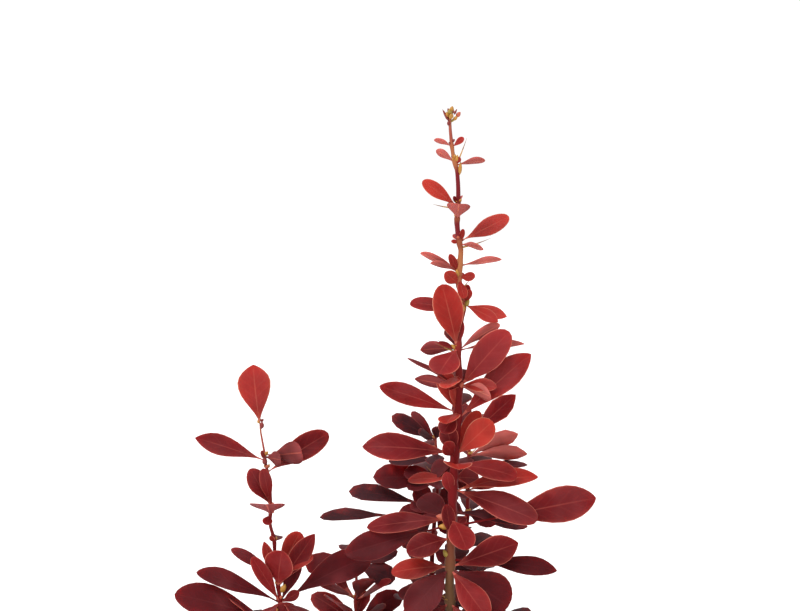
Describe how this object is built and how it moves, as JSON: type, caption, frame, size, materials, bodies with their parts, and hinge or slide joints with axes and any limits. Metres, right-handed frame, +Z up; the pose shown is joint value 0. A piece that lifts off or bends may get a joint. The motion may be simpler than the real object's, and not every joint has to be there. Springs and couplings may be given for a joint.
{
  "type": "japanese barberry shrub",
  "caption": "Young upright barberry shrub with a short flared trunk, slender rising canes and whorls of spoon-shaped red leaves; one leading shoot stands above the rest.",
  "frame": {"origin": "middle of the flat cut under the trunk, at ground level", "axes": "+Z straight up the plant, -Y towards the viewer of the picture, +X to the viewer's right"},
  "size_m": [0.1968, 0.1724, 0.42],
  "materials": {
    "bark": "fissured brown bark, matte",
    "leaf_bright": "satin red leaf",
    "leaf_dark": "satin maroon leaf"
  },
  "bodies": {
    "root": {"trunk": "bark", "cane_main": "bark", "cane_left": "bark", "cane_back_right": "bark", "cane_back_left": "bark", "cane_rear_left": "bark", "cane_far_left": "bark", "cane_front_left": "bark", "cane_front": "bark", "cane_front_right": "bark", "cane_right": "bark", "cane_rear_right": "bark", "cane_rear": "bark", "foliage_main": "leaf_bright", "foliage_left": "leaf_bright", "foliage_back_right": "leaf_dark", "foliage_back_left": "leaf_dark", "foliage_rear_left": "leaf_dark", "foliage_far_left": "leaf_dark", "foliage_front_left": "leaf_dark", "foliage_front": "leaf_dark", "foliage_front_right": "leaf_dark", "foliage_right": "leaf_dark", "foliage_rear_right": "leaf_dark", "foliage_rear": "leaf_dark"}
  },
  "joints": []
}
